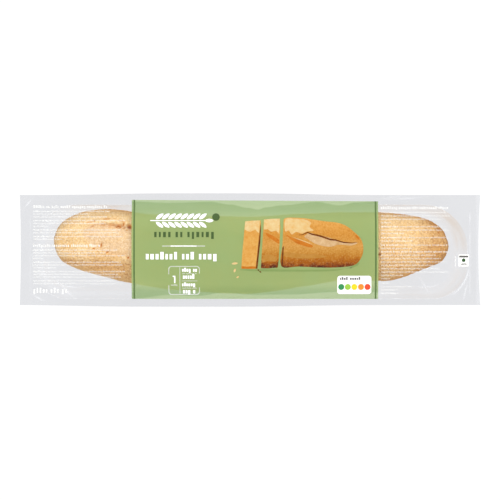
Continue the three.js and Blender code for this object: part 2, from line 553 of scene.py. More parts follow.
def lid_highlights_and_trim(x, y):
    """Share of white painted on the lid film: painted highlights along the creases, at the end seals and
    along the front right corner of the rim, and a paler strip along the outer trim.
    """
    whitening = 0.0
    # Painted highlights along the creases that rise
    for middle_x, middle_y, degrees, half_length, half_width, rise in FILM_CREASES:
        along, across = along_and_across(x, y, middle_x * MM, middle_y * MM, degrees)
        line = hill(along, 0.8 * half_length * MM) * hill(across, 0.7 * half_width * MM)
        whitening += 1.5 * max(rise, 0.0) * line
    # Painted highlight lines at the two end seals, stronger at the right
    seal = smooth_step(41 * MM, 35 * MM, abs(y + 3 * MM))
    broken = 0.6 + 0.6 * ripple(y, x, 7, 40, 1.0)
    strength = 0.34 if x > 0 else 0.14
    whitening += strength * seal * broken * hill(abs(x) - SEAL_DISTANCE, SEAL_WIDTH)
    whitening += 0.10 * smooth_step(TRIM_START, TRIM_FULL, x)
    # Painted highlight along the front right corner of the rim
    corner = smooth_step(190 * MM, 201 * MM, x) * smooth_step(-14 * MM, -26 * MM, y)
    whitening += 0.38 * corner * hill(rim_inset(x, y) + 0.9 * MM, 0.7 * MM)
    return min(whitening, 0.6)


def painted_loaf_reflection(x, y):
    """Share of painted reflection of the loaf on the rim of the formed wall, most at the back right corner.
    """
    inset = rim_inset(x, y)
    corner = smooth_step(130 * MM, 180 * MM, x) * smooth_step(-10 * MM, 12 * MM, y)
    back = smooth_step(0, 30 * MM, y) * smooth_step(-4 * MM, 0.5 * MM, inset)
    back *= smooth_step(-195 * MM, -160 * MM, x)
    front = 0.35 * smooth_step(-10 * MM, -25 * MM, y) * smooth_step(110 * MM, 170 * MM, x)
    streaks = 0.62 + 0.5 * ripple(x, y, 30, 30, inset / (1.6 * MM))
    ring = smooth_step(0.0, 1.2 * MM, inset) * smooth_step(9 * MM, 3.5 * MM, inset)
    return min(ring * streaks * max(corner, 0.55 * back, front), 1.0)


def rim_wave(x, y):
    """Slow wave of the sealing rim, which lies free all round."""
    return 0.45 * MM * ripple(x, y, 55, 55, 9.0)


def lid_height(x, y):
    """Height of the lid film at one place."""
    sizes = pack_sizes()
    inset = rim_inset(x, y)
    share = min(max(inset / sizes.crown_reach, 0.0), 1.0)
    along = abs(2 * x / sizes.pocket_length)
    crown = sizes.crown_height * math.sin(HALF_PI * share)
    crown *= 1 - sizes.crown_end_drop * along**4
    free = smooth_step(2 * MM, -6 * MM, inset)
    return sizes.rim_height + LID_GAP + crown + film_slack(x, y) + free * rim_wave(x, y)


def rim_loop(inset, height):
    """One closed loop of points that follows the pocket's rim, moved in by an inset."""
    sizes = pack_sizes()
    half_x = sizes.pocket_length / 2 - inset
    half_y = sizes.pocket_width / 2 - inset
    back = sizes.back_corner - inset
    front = sizes.front_corner - inset
    corners = ((1, 1, back), (-1, 1, back), (-1, -1, front), (1, -1, front))
    corner_steps = 18
    side_steps = (90, 6, 90, 6)
    arcs = []
    for index, (side_x, side_y, radius) in enumerate(corners):
        centre_x = side_x * (half_x - radius)
        centre_y = side_y * (half_y - radius) + sizes.pocket_shift
        centre = Vector((centre_x, centre_y, height))
        arc = []
        for step in range(corner_steps + 1):
            angle = HALF_PI * (index + step / corner_steps)
            arc.append(centre + radius * Vector((math.cos(angle), math.sin(angle), 0)))
        arcs.append(arc)
    loop = []
    for index, arc in enumerate(arcs):
        start = arc[-1]
        end = arcs[(index + 1) % 4][0]
        loop.extend(arc)
        loop.extend(start.lerp(end, step / side_steps[index]) for step in range(1, side_steps[index]))
    return loop


def edge_loop(height):
    """The pack's cut edge, with as many points as a rim loop and facing them."""
    loop = []
    sizes = pack_sizes()
    for point in rim_loop(0.0, height):
        x = point.x / (sizes.pocket_length / 2)
        y = (point.y - sizes.pocket_shift) / (sizes.pocket_width / 2)
        spread = max(abs(x), abs(y))
        outer_x, outer_y = pack_point(x / spread, y / spread)
        loop.append(Vector((outer_x, outer_y, height)))
    for side_x, side_y in ((1, 1), (-1, 1), (-1, -1), (1, -1)):
        corner = Vector((*pack_point(side_x, side_y), height))
        nearest = min(range(len(loop)), key=lambda index: (loop[index] - corner).length)
        loop[nearest] = corner
    return loop


def sweep_loops(bm, loops):
    """Skins a series of closed loops by extruding each one to the next, and gives the last loop's edges."""
    station = bm.verts.layers.int.new("station")
    verts = [bm.verts.new(point) for point in loops[0]]
    for index, vert in enumerate(verts):
        vert[station] = index
    edges = [bm.edges.new((verts[index - 1], verts[index])) for index in range(len(verts))]
    for points in loops[1:]:
        made = bmesh.ops.extrude_edge_only(bm, edges=edges)["geom"]
        moved = {part for part in made if isinstance(part, bmesh.types.BMVert)}
        for vert in moved:
            vert.co = points[vert[station]]
        new_edges = [part for part in made if isinstance(part, bmesh.types.BMEdge)]
        edges = [edge for edge in new_edges if moved.issuperset(edge.verts)]
    return edges


def pocket_loops():
    """Loops of the formed film, from the cut edge over the rim and down to the underside."""
    sizes = pack_sizes()
    edge_steps = 6
    bend_steps = 5
    wall_steps = 14
    foot_steps = 9
    underside_steps = 7
    flange = sizes.rim_height + RIM_GAP
    loops = []
    edge = edge_loop(flange)
    rim = rim_loop(0.0, flange)
    for step in range(edge_steps):
        loops.append([outer.lerp(inner, step / edge_steps) for outer, inner in zip(edge, rim)])
    for step in range(bend_steps + 1):
        angle = HALF_PI * step / bend_steps
        inset = sizes.rim_bend * math.sin(angle)
        loops.append(rim_loop(inset, flange - sizes.rim_bend * (1 - math.cos(angle))))
    wall_top = flange - sizes.rim_bend
    for step in range(1, wall_steps + 1):
        share = step / wall_steps
        inset = sizes.rim_bend + sizes.wall_draft * share
        loops.append(rim_loop(inset, wall_top + (sizes.foot_radius - wall_top) * share))
    foot_inset = sizes.rim_bend + sizes.wall_draft
    for step in range(1, foot_steps + 1):
        angle = HALF_PI * step / foot_steps
        inset = foot_inset + sizes.foot_radius * (1 - math.cos(angle))
        loops.append(rim_loop(inset, SHELF_GAP + sizes.foot_radius * (1 - math.sin(angle))))
    for step in range(1, underside_steps + 1):
        loops.append(rim_loop(foot_inset + sizes.foot_radius + 2.5 * step * MM, SHELF_GAP))
    return loops


def flute(point):
    """Sideways ripple of the formed wall, left by drawing the film down."""
    sizes = pack_sizes()
    below_rim = smooth_step(sizes.rim_height, sizes.rim_height - 10 * MM, point.z)
    wall = smooth_step(0.0, 8 * MM, point.z) * below_rim
    return 0.35 * MM * wall * ripple(point.x, point.y, 9, 9, point.z / (60 * MM))


def build_pocket_film():
    """The clear formed film: sealing rim, wall, foot and flat underside."""
    bm = bmesh.new()
    last_loop = sweep_loops(bm, pocket_loops())
    underside = bmesh.ops.edgeloop_fill(bm, edges=last_loop)["faces"][0]
    bmesh.ops.recalc_face_normals(bm, faces=bm.faces)
    if underside.normal.z > 0:
        bmesh.ops.reverse_faces(bm, faces=bm.faces)
    loaf_reflection_layer = bm.verts.layers.float.new("warmed")
    for vert in bm.verts:
        inset = rim_inset(vert.co.x, vert.co.y)
        # Painted reflection of the loaf on the wall's rim
        vert[loaf_reflection_layer] = painted_loaf_reflection(vert.co.x, vert.co.y)
        if inset < 0:
            vert.co.z += rim_wave(vert.co.x, vert.co.y) * smooth_step(0.0, -6 * MM, inset)
        elif vert.co.z > 1 * MM:
            vert.co.x += flute(vert.co) * (1 if vert.co.x > 0 else -1)
            vert.co.y += flute(vert.co.yxz)
    return finish_piece("pocket_film", bm, [pocket_clear()])


def build_lid_film():
    """The clear lid film, sealed to the rim and taut over the loaf."""
    bm = bmesh.new()
    bmesh.ops.create_grid(bm, x_segments=440, y_segments=96, size=1.0)
    highlights_and_trim_layer = bm.verts.layers.float.new("veiled")
    for vert in bm.verts:
        # The sine crowds the points towards the two ends
        gathered = vert.co.x + 0.12 * math.sin(math.pi * vert.co.x)
        x, y = pack_point(gathered, vert.co.y)
        # Painted highlights and the paler trim, kept on the points
        vert[highlights_and_trim_layer] = lid_highlights_and_trim(x, y)
        vert.co = (x, y, lid_height(x, y))
    return finish_piece("lid_film", bm, [lid_clear()])


# Shape of the loaf


def station_places(rows):
    """Places of the loaf's cross-sections, closer together where the band leaves the crust bare."""
    steps = 4000
    sums = [0.0]
    for step in range(steps):
        place = (step + 0.5) / steps
        x = -math.cos(math.pi * place)
        bare = smooth_step(0.5, 0.56, abs(x))
        sums.append(sums[-1] + (math.sin(math.pi * place) + 0.1) * (1 + 2.0 * bare))
    places = []
    step = 0
    for row in range(rows + 1):
        wanted = sums[-1] * row / rows
        while step < steps - 1 and sums[step + 1] < wanted:
            step += 1
        share = (wanted - sums[step]) / (sums[step + 1] - sums[step])
        places.append(min((step + share) / steps, 1.0))
    return places


def station_section(place):
    """Edges and heights of the loaf at one station, place running from 0 to 1 between the tips."""
    sizes = loaf_sizes()
    fullness = math.sin(math.pi * place)
    back = blend_values(BACK_EDGE, place * (len(BACK_EDGE) - 1)) * MM
    front = blend_values(FRONT_EDGE, place * (len(FRONT_EDGE) - 1)) * MM
    top = sizes.tip_height + (sizes.height - sizes.tip_height) * fullness**0.66
    waist = sizes.tip_height + (sizes.widest_height - sizes.tip_height) * fullness
    low = sizes.base + (sizes.tip_height - sizes.base) * (1 - fullness) ** 2.2
    return back, front, top, waist, low


def loaf_point(place, angle):
    """Point on the plain loaf, from a place along it and an angle round it that starts at the back."""
    sizes = loaf_sizes()
    back, front, top, waist, low = station_section(place)
    middle_x = (sizes.left_tip + sizes.right_tip) / 2
    half_x = (sizes.right_tip - sizes.left_tip) / 2
    side = math.cos(angle)
    rise = math.sin(angle)
    power = 2 / (TOP_ROUNDNESS if rise > 0 else BASE_ROUNDNESS)
    width_share = math.copysign(abs(side) ** power, side)
    height_share = abs(rise) ** power
    y = (back + front) / 2 + width_share * (back - front) / 2
    z = waist + (top - waist) * height_share if rise > 0 else waist - (waist - low) * height_share
    return Vector((middle_x - half_x * math.cos(math.pi * place), y, z))


def score_shape(x, y, score):
    """Place across a score as a share of its half width, and how far it is from its tips, 0 to 1."""
    middle_x, middle_y, degrees, half_length, half_width = score
    wander = 1.6 * MM * ripple(x, y, 13, 13, 2.0)
    wander += 0.7 * MM * ripple(x, y, 4, 4, 5.0)
    along, across = along_and_across(x, y, middle_x * MM, middle_y * MM, degrees)
    share = along / (half_length * MM)
    open_share = max(1 - abs(share) ** 4, 0.0) ** 0.7
    if open_share <= 0.05:
        return 0.0, 0.0
    return (across + wander) / (half_width * MM * open_share), open_share


def score_relief(x, y):
    """Height and openness of the scored crust at one place on top of the loaf, and the share of painted shade
    in its ripped crack.
    """
    height = 0.0
    opened = 0.0
    torn = 0.0
    for score in SCORES:
        across, open_share = score_shape(x, y, score)
        if open_share <= 0.0 or abs(across) > 2.2:
            continue
        inside = smooth_step(-1.06, -0.92, across) * smooth_step(1.02, 0.9, across)
        patchy = 0.5 + 0.5 * ripple(x, y, 6, 6, 7.0)
        crack = hill(across - 0.84, 0.10) * open_share
        height += 1.5 * MM * hill(across - 1.12, 0.16) * open_share
        height -= (1.0 + 1.9 * patchy) * MM * crack
        height += 0.5 * MM * hill(across + 1.1, 0.12) * open_share
        height += inside * open_share * MM * (1.3 * math.cos(HALF_PI * min(abs(across), 1.0)) - 0.9)
        opened = max(opened, inside * smooth_step(0.05, 0.3, open_share))
        # Painted shade in the crack under the ear
        torn = max(torn, crack * smooth_step(0.45, 0.75, patchy))
    return height, opened, torn


def spot_strength(x, y, spot):
    """1 in the middle of a long spot on the crust, falling to nothing past its edge."""
    middle_x, middle_y, degrees, half_length, half_width = spot
    if abs(x - middle_x * MM) > SPOT_REACH or abs(y - middle_y * MM) > SPOT_REACH:
        return 0.0
    along, across = along_and_across(x, y, middle_x * MM, middle_y * MM, degrees)
    return math.exp(-(math.hypot(along / (half_length * MM), across / (half_width * MM)) ** 4))


def pore_relief(x, y):
    """Depth of the open pores and tears at one place, and the strength of their colour and painted shade."""
    depth = 0.0
    strength = 0.0
    for *spot, pore_depth in PORES:
        share = spot_strength(x, y, spot)
        depth += pore_depth * MM * share
        # Painted shade that deepens with the depth of each pore
        strength = max(strength, share * min(pore_depth / PORE_SHADE_DEPTH, 1.0))
    ragged = smooth_step(0.35, 0.75, 0.5 + 0.5 * ripple(x, y, 2.2, 1.4, 3.0))
    for *spot, tear_strength in TEARS:
        share = spot_strength(x, y, spot) * ragged * tear_strength
        depth += TEAR_DEPTH * MM * share
        strength = max(strength, share)
    return depth, strength


def left_end(x):
    """How far a place lies in the left end of the loaf, from 0 to 1."""
    return smooth_step(-95 * MM, -125 * MM, x)


def shoulder(x, y):
    """How far a place lies over the front shoulder of the loaf's left end, from 0 to 1."""
    line = -7.0 * MM - 0.045 * (x + 190 * MM) + 1.2 * MM * ripple(x, 0.0, 12, 12, 6.0)
    return left_end(x) * smooth_step(line, line - 4 * MM, y)


def crust_relief(point):
    """Lumps, wrinkles and grain of the crust away from the scores."""
    x, y, z = point
    height = 0.0
    for rise, reach_along, reach_across in CRUST_WAVES:
        height += rise * MM * ripple(x, y, reach_along, reach_across, z / (reach_across * MM))
    along, across = along_and_across(x, y, 0.0, 0.0, 62)
    height -= 0.35 * MM * hill(ripple(along, across, 9, 3.2, z / (9 * MM)), 0.09)
    return height - 0.9 * MM * shoulder(x, y) * hill(z - 42 * MM, 9 * MM)


def build_loaf():
    """The baguette: a bent, flat-bottomed loaf with three burst scores, pores and a grained crust."""
    sizes = loaf_sizes()
    rows = 390
    places = station_places(rows)
    bm = bmesh.new()
    bmesh.ops.create_uvsphere(bm, u_segments=250, v_segments=rows, radius=1.0)
    for vert in bm.verts:
        row = round(math.acos(min(max(-vert.co.z, -1.0), 1.0)) / math.pi * rows)
        angle = math.atan2(vert.co.y, vert.co.x)
        # The cosine crowds the points towards the top of the loaf
        vert.co = loaf_point(places[row], angle + 0.3 * math.cos(angle))
    bm.normal_update()
    opened_layer = bm.verts.layers.float.new("opened")
    torn_and_shaded_layer = bm.verts.layers.float.new("torn")
    brown_and_shade_layer = bm.verts.layers.float.new("browned")
    moves = []
    for vert in bm.verts:
        x, y, z = vert.co
        upward = smooth_step(0.1, 0.5, vert.normal.z)
        height, opened, torn = score_relief(x, y) if upward > 0 else (0.0, 0.0, 0.0)
        depth, strength = pore_relief(x, y) if upward > 0 else (0.0, 0.0)
        relief = crust_relief(vert.co) * (1 - 0.3 * opened) + upward * (height - depth)
        if z < sizes.base + 3 * MM:
            relief *= smooth_step(sizes.base, sizes.base + 3 * MM, z)
        moves.append(vert.normal * relief)
        vert[opened_layer] = upward * opened
        # Colour of thin crust and painted shade in pores and cracks
        vert[torn_and_shaded_layer] = upward * max(torn, strength)
        vert[brown_and_shade_layer] = browning_and_shade(vert.co, vert.normal)
    for vert, move in zip(bm.verts, moves):
        vert.co += move
    return finish_piece("loaf", bm, [crust()])


def browning_and_shade(point, normal):
    """How brown the crust is at one place, from 0 to 1: real brown in patches, in a low band and at the right
    tip, and brown mixed with painted shade on its flanks, rims and front side.
    """
    x, y, z = point
    patch = 0.5 + 0.5 * ripple(x, y, 20, 12, z / (12 * MM))
    patch += 0.35 * ripple(x, y, 6, 6, z / (6 * MM))
    right = smooth_step(70 * MM, 130 * MM, x)
    # Brown mixed with painted shade where the flanks turn away from above
    upper_flank = smooth_step(0.68, 0.35, normal.z) * smooth_step(-0.15, 0.3, normal.z)
    flank = upper_flank * (0.08 + 0.28 * patch + 0.24 * right)
    # Browner in a band about 9 mm over the shelf
    low_band = 0.25 * hill(z - 9 * MM, 4 * MM) * patch
    # Browner over the left end's front shoulder, partly painted shade
    over = shoulder(x, y) * smooth_step(-0.1, 0.4, normal.z) * (0.28 + 0.25 * patch)
    # Browner towards the front, partly painted shade
    lower = smooth_step(9 * MM, -2 * MM, y) + 0.8 * smooth_step(-4 * MM, -18 * MM, y)
    front = right * (0.08 + 0.21 * lower)
    front += 0.2 * left_end(x) * smooth_step(5 * MM, -9 * MM, y)
    tip = (0.40 + 0.3 * patch) * smooth_step(156 * MM, 182 * MM, x)
    upward = smooth_step(-0.1, 0.2, normal.z)
    # Browner rims at the right end, partly painted shade
    rim = upward * smooth_step(100 * MM, 180 * MM, x) * smooth_step(0.75, 0.3, normal.z)
    rim *= 0.3 + 0.5 * patch
    # Painted shade along the back rim
    back_rim = 0.30 * upward * smooth_step(0.5, 0.25, normal.z) * smooth_step(0.0, 0.3, normal.y)
    return min(max(flank, over, rim, low_band) + front + tip + back_rim, 1.0)


# Print on the lid


def rounded_outline(low_x, low_y, high_x, high_y, radius, steps=5):
    """Corner-rounded rectangle as flat points, in millimetres."""
    points = []
    corners = (
        (high_x - radius, high_y - radius),
        (low_x + radius, high_y - radius),
        (low_x + radius, low_y + radius),
        (high_x - radius, low_y + radius),
    )
    for index, (centre_x, centre_y) in enumerate(corners):
        for step in range(steps + 1):
            angle = HALF_PI * (index + step / steps)
            points.append((centre_x + radius * math.cos(angle), centre_y + radius * math.sin(angle)))
    return points


def dot_outline(x, y, radius, steps):
    """Circle as flat points, in millimetres."""
    angles = [math.tau * step / steps for step in range(steps)]
    return [(x + radius * math.cos(angle), y + radius * math.sin(angle)) for angle in angles]


def smooth_outline(points, steps):
    """Closed curve through a few given points, in millimetres."""
    count = len(points)
    curve = []
    for index in range(count):
        around = [points[(index + shift) % count] for shift in (-1, 0, 1, 2)]
        for step in range(steps):
            place = 1 + step / steps
            curve.append(tuple(blend_values([p[axis] for p in around], place) for axis in (0, 1)))
    return curve


def add_patch(bm, outline, lift, material_index=0, cut_length=6.0):
    """Adds a printed field, cut finely enough to follow the lid film, from an outline in millimetres."""
    verts = [bm.verts.new((x * MM, y * MM, 0)) for x, y in outline]
    face = bm.faces.new(verts)
    face.normal_update()
    if face.normal.z < 0:
        face.normal_flip()
    face.material_index = material_index
    parts = [*verts, *face.edges, face]
    for axis in (0, 1):
        places = [point[axis] for point in outline]
        normal = (1, 0, 0) if axis == 0 else (0, 1, 0)
        for step in range(math.floor(min(places) / cut_length) + 1, math.ceil(max(places) / cut_length)):
            centre = tuple(step * cut_length * MM * share for share in normal)
            parts = bmesh.ops.bisect_plane(bm, geom=parts, plane_co=centre, plane_no=normal)["geom"]
    for part in parts:
        if isinstance(part, bmesh.types.BMVert):
            part.co.z = lid_height(part.co.x, part.co.y) + lift
    bmesh.ops.triangulate(bm, faces=[part for part in parts if isinstance(part, bmesh.types.BMFace)])


def add_block(bm, low_x, low_y, high_x, high_y, lift, material_index=0):
    """Adds one small rectangle of ink on the lid, in millimetres."""
    middle_x = (low_x + high_x) / 2 * MM
    middle_y = (low_y + high_y) / 2 * MM
    size = Matrix.Diagonal(((high_x - low_x) * MM, (high_y - low_y) * MM, 1, 1))
    place = Matrix.Translation((middle_x, middle_y, 0))
    made = bmesh.ops.create_grid(bm, x_segments=1, y_segments=1, size=0.5, matrix=place @ size)
    for vert in made["verts"]:
        vert.co.z = lid_height(vert.co.x, vert.co.y) + lift
    made["verts"][0].link_faces[0].material_index = material_index


def add_line(bm, low_x, high_x, y, thickness, material_index=0, piece_length=8.0):
    """Adds a thin level line of ink, cut into short pieces that follow the film."""
    pieces = max(round((high_x - low_x) / piece_length), 1)
    for index in range(pieces):
        start = low_x + (high_x - low_x) * index / pieces
        end = low_x + (high_x - low_x) * (index + 1) / pieces
        add_block(bm, start, y - thickness / 2, end, y + thickness / 2, INK_LIFT, material_index)


def add_words(bm, chance, low_x, high_x, y, height, stroke, gap, material_index=0):
    """Adds a row of plain blocks that reads as a line of words from afar and holds no letters."""
    x = low_x
    left_in_word = chance.randint(3, 9)
    while x + stroke < high_x:
        tall = chance.random()
        top = y + height * (0.5 + (0.38 if tall > 0.78 else 0.0))
        bottom = y - height * (0.5 + (0.34 if tall < 0.08 else 0.0))
        width = stroke * chance.uniform(0.75, 1.2)
        add_block(bm, x, bottom, x + width, top, INK_LIFT, material_index)
        x += width + gap
        left_in_word -= 1
        if left_in_word == 0:
            x += stroke * 1.1
            left_in_word = chance.randint(2, 9)


def edge_height(points, x):
    """Height of a line through points in millimetres, with rounded corners."""
    if x <= points[0][0]:
        return points[0][1]
    for start, end in zip(points, points[1:]):
        if x <= end[0]:
            return start[1] + (end[1] - start[1]) * smooth_step(start[0], end[0], x)
    return points[-1][1]


def band_back(x):
    """The band's back edge, which runs a little askew, in millimetres."""
    return 47.45 - 0.0058 * x


def build_band():
    """The translucent green band printed across the lid, with a paler painted sheen near the rim and painted
    shade on the slopes.
    """
    bm = bmesh.new()
    sheen_layer = bm.verts.layers.float.new("bonded")
    slope_shade_layer = bm.verts.layers.float.new("drawn")
    bmesh.ops.create_grid(bm, x_segments=230, y_segments=150, size=1.0)
    for vert in bm.verts:
        x = BAND_LEFT + (BAND_RIGHT - BAND_LEFT) * (vert.co.x + 1) / 2
        y = BAND_FRONT + (band_back(x) - BAND_FRONT) * (vert.co.y + 1) / 2
        # Painted sheen along the back and front edges near the rim
        back = smooth_step(-0.5, 0.5, y - edge_height(BACK_SHEEN, x))
        front = smooth_step(0.5, -0.5, y - edge_height(FRONT_SHEEN, x))
        vert[sheen_layer] = max(back, front)
        # Painted shade on the lid's slopes towards the rim
        vert[slope_shade_layer] = max(smooth_step(28.0, 41.0, y), smooth_step(-32.0, -41.0, y))
        vert.co = (x * MM, y * MM, lid_height(x * MM, y * MM) + BAND_LIFT)
    return finish_piece("green_band", bm, [band_ink()])


def build_band_lines():
    """Thin dark green lines just inside the band's two ends."""
    bm = bmesh.new()
    for x in BAND_LINES:
        steps = 40
        for step in range(steps):
            low = BAND_FRONT + (band_back(x) - BAND_FRONT) * step / steps
            high = BAND_FRONT + (band_back(x) - BAND_FRONT) * (step + 1) / steps
            add_block(bm, x - BAND_LINE_HALF, low, x + BAND_LINE_HALF, high, LINE_LIFT)
    bmesh.ops.remove_doubles(bm, verts=bm.verts, dist=0.01 * MM)
    return finish_piece("band_lines", bm, [flat_ink("line_ink", colours().line_ink)])


def add_small_print(bm, chance, left, back, steps, rows):
    """Adds a column of small print: headings, paragraphs with a strong start, and plain lines."""
    line_step, start_step, heading_step, gap_step = steps
    y = back
    for kind, width in rows:
        if kind == "gap":
            y -= gap_step
            continue
        if kind == "start":
            y -= start_step
        strong_to = {"heading": width, "strong": width, "start": min(width, STRONG_START)}.get(kind, 0.0)
        height, stroke = HEADING_STROKE if kind == "heading" else STRONG_STROKE
        if strong_to:
            add_words(bm, chance, left, left + strong_to, y, height, stroke, stroke * 0.85)
        if width > strong_to:
            add_words(bm, chance, left + strong_to, left + width, y, height, THIN_STROKE, THIN_STROKE, 1)
        y -= heading_step if kind == "heading" else line_step


def build_small_print():
    """Two columns of small white print, one over each end of the loaf."""
    bm = bmesh.new()
    chance = random.Random(11)
    for column in SMALL_PRINT:
        add_small_print(bm, chance, *column)
    # A bolder row at the front left corner and an upright stroke near the right end
    add_words(bm, chance, -207.7, -174.8, -39.4, 3.5, 1.5, 1.5)
    add_block(bm, 196.4, -15.5, 197.2, -5.9, INK_LIFT, 1)
    strong = flat_ink("soft_white_ink", colours().soft_ink, 0.80)
    faint = flat_ink("faint_white_ink", colours().soft_ink, 0.62)
    return finish_piece("small_print", bm, [strong, faint])


def pointed_oval(x, y, degrees, half_length, half_width):
    """Pointed oval as flat points about its middle, in millimetres."""
    steps = 16
    turn = math.radians(degrees)
    points = []
    for step in range(steps):
        angle = math.tau * step / steps
        along = half_length * math.cos(angle)
        across = half_width * math.sin(angle) * abs(math.sin(angle)) ** 0.4
        point_x = x + along * math.cos(turn) - across * math.sin(turn)
        point_y = y + along * math.sin(turn) + across * math.cos(turn)
        points.append((point_x, point_y))
    return points


def build_front_print():
    """White print on the band: a wheat ear, rows of plain blocks and a small ruled box."""
    bm = bmesh.new()
    chance = random.Random(5)
    ear_y = 28.2
    add_line(bm, -95.5, -41.0, ear_y, 0.9)
    for index in range(8):
        x = -86.5 + 5.9 * index
        for side in (1, -1):
            add_patch(bm, pointed_oval(x, ear_y + 4.0 * side, 36 * side, 4.4, 1.75), INK_LIFT)
    add_patch(bm, pointed_oval(-39.0, ear_y, 0, 4.0, 1.7), INK_LIFT)
    add_line(bm, -84.0, -43.0, 3.8, 0.9, 1)
    add_line(bm, -76.0, -51.0, 3.8, 1.1)
    add_words(bm, chance, -99.6, -25.0, -6.4, 5.2, 2.9, 1.7)
    add_ruled_box(bm, chance)
    white = flat_ink("white_ink", colours().white_ink)
    thin = flat_ink("thin_white_ink", colours().white_ink, 0.45)
    return finish_piece("front_print", bm, [white, thin])


def add_ruled_box(bm, chance):
    """Adds a round-cornered box with an upright rule, a level rule and rows of plain blocks."""
    outer = rounded_outline(-78.1, -43.0, -48.0, -15.3, 3.0)
    inner = rounded_outline(-77.3, -42.2, -48.8, -16.1, 2.4)
    count = len(outer)
    for index in range(count):
        following = (index + 1) % count
        add_patch(bm, (outer[index], outer[following], inner[following], inner[index]), INK_LIFT, 1, 40.0)
    for step in range(6):
        add_block(bm, -67.4, -41.6 + 4.2 * step, -66.8, -37.4 + 4.2 * step, INK_LIFT, 1)
    add_line(bm, -65.4, -50.4, -29.6, 0.6, 1)
    add_block(bm, -72.7, -31.6, -71.4, -24.6, INK_LIFT)
    add_block(bm, -74.0, -25.8, -72.7, -24.6, INK_LIFT)
    add_words(bm, chance, -75.6, -69.4, -33.6, 1.1, 0.8, 0.3, 1)
    for y in (-19.4, -33.4):
        add_words(bm, chance, -65.0, -50.4, y, 2.7, 1.7, 0.5)
        add_words(bm, chance, -64.6, -50.8, y - 3.2, 1.0, 0.6, 0.35, 1)
        add_words(bm, chance, -64.2, -51.6, y - 6.6, 3.2, 1.9, 0.6)


def build_dark_print():
    """Dark green print on the band: a dot and a row of plain blocks."""
    bm = bmesh.new()
    chance = random.Random(8)
    add_patch(bm, dot_outline(-32.6, 31.6, 3.6, 28), INK_LIFT)
    add_words(bm, chance, -91.6, -32.6, 14.8, 5.0, 2.4, 2.2)
    return finish_piece("dark_print", bm, [flat_ink("dark_ink", colours().dark_ink)])


def curved_blade(points, depth):
    """Thin pointed field that hangs below a line of points, thickest in the middle."""
    count = len(points)
    lower = [(x, y - depth * math.sin(math.pi * (i + 0.5) / count)) for i, (x, y) in enumerate(points)]
    return [*points, *reversed(lower[1:-1])]


def picture_inks():
    """Inks of the printed bread by name."""
    return {
        "golden": baked_ink("picture_golden"),
        "pale": picture_ink("picture_pale", (252, 226, 170), (247, 198, 126)),
        "shade": picture_ink("picture_shade", (212, 120, 46), (230, 150, 70)),
        "deep": picture_ink("picture_deep", (104, 62, 28), (150, 92, 44)),
        "shadow": flat_ink("picture_shadow", print_tone(152, 176, 112)),
        "crumb": picture_ink("picture_crumb", (242, 206, 160), (218, 172, 118)),
        "tan": picture_ink("picture_tan", (212, 158, 88), (202, 142, 70)),
        "light": picture_ink("picture_light", (246, 194, 112), (234, 164, 84)),
    }


def build_picture():
    """The printed bread: two slices and the end of a loaf, as fields of toned colour."""
    bm = bmesh.new()
    inks = picture_inks()
    shapes = []
    for ink, layer, steps, points in PICTURE_FIELDS:
        shapes.append((ink, layer, smooth_outline(points, steps) if steps else points))
    for ink, layer, depth, points in PICTURE_BLADES:
        shapes.append((ink, layer, curved_blade(points, depth)))
    for ink, layer, x, y, degrees, half_length, half_width in PICTURE_OVALS:
        shapes.append((ink, layer, pointed_oval(x, y, degrees, half_length, half_width)))
    for ink, layer, outline in shapes:
        add_patch(bm, outline, PICTURE_GROUND + layer * PICTURE_STEP, list(inks).index(ink))
    return finish_piece("printed_bread", bm, inks.values())


def build_plates():
    """Two white plates: one with five round colour marks, and a small one with a plain mark."""
    bm = bmesh.new()
    chance = random.Random(3)
    inks = [flat_ink("plate_white", srgb(252, 251, 247))]
    inks += [flat_ink(f"colour_mark_{index + 1}", srgb(*tone)) for index, tone in enumerate(MARK_TONES)]
    inks.append(flat_ink("grey_ink", print_tone(126, 124, 122)))
    inks.append(flat_ink("mark_green", srgb(52, 84, 48)))
    grey = len(inks) - 2
    green = len(inks) - 1
    add_patch(bm, rounded_outline(83.6, -42.2, 116.2, -24.7, 2.6), PLATE_LIFT)
    add_words(bm, chance, 86.0, 109.0, -27.6, 2.0, 1.5, 0.6, grey)
    for index in range(len(MARK_TONES)):
        add_patch(bm, dot_outline(87.4 + 6.3 * index, -35.4, 2.9, 20), MARK_LIFT, index + 1)
    add_patch(bm, rounded_outline(200.0, -15.7, 209.9, -4.3, 0.5), PLATE_LIFT)
    add_line(bm, 200.6, 209.3, -6.3, 1.7, grey)
    add_patch(bm, dot_outline(204.9, -9.8, 1.8, 20), MARK_LIFT, green)
    add_line(bm, 202.2, 207.8, -13.5, 0.9, grey)
    return finish_piece("white_plates", bm, inks)


# Materials


def new_material(name):
    """An empty node material."""
    material = bpy.data.materials.new(name)
    material.use_nodes = True
    material.node_tree.nodes.clear()
    return material


def add_node(material, kind, settings=None, values=None):
    """Adds a node with its settings and its plain socket values."""
    node = material.node_tree.nodes.new(kind)
    for key, value in (settings or {}).items():
        setattr(node, key, value)
    for key, value in (values or {}).items():
        node.inputs[key].default_value = value
    return node


def link(material, source, target, socket):
    """Joins a value, given as its node and output, to a socket of another node."""
    node, output = source
    material.node_tree.links.new(node.outputs[output], target.inputs[socket])


def show(material, shader):
    """Makes a shader the surface of the material."""
    link(material, shader, add_node(material, "ShaderNodeOutputMaterial"), "Surface")
    return material


def opaque(tone):
    """Colour with a full alpha."""
    return (*tone, 1.0)


